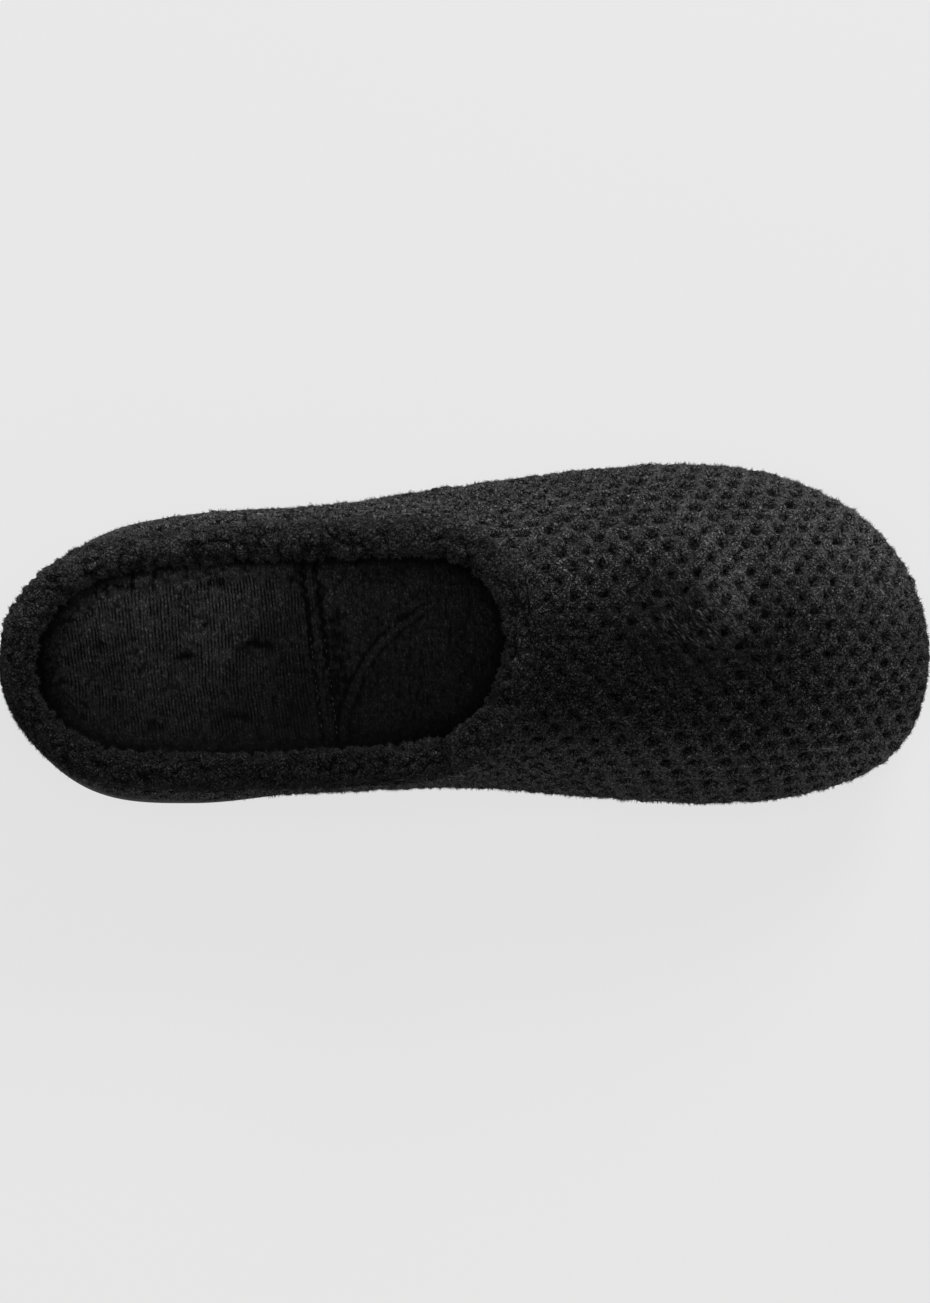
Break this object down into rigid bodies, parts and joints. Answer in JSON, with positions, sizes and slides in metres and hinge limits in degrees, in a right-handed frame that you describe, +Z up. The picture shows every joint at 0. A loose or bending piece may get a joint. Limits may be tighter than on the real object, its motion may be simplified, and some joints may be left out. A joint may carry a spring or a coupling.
{
  "type": "plush house slipper",
  "caption": "Closed-toe plush house slipper for the left foot, with a low padded back, a soft collar roll, a ribbed insole and a thin rubber sole.",
  "frame": {"origin": "middle of the bounding box, on the floor under the sole", "axes": "+X from heel to toe, +Y to the outer side of the foot, +Z up"},
  "size_m": [0.258, 0.0945, 0.0712],
  "materials": {
    "outsole_rubber": "matt",
    "insole_terry": "ribbed terry",
    "upper_plush": "dimpled plush",
    "collar_plush": "plain plush"
  },
  "bodies": {
    "root": {"outsole": "outsole_rubber", "insole": "insole_terry", "upper": "upper_plush", "collar": "collar_plush"}
  },
  "joints": []
}
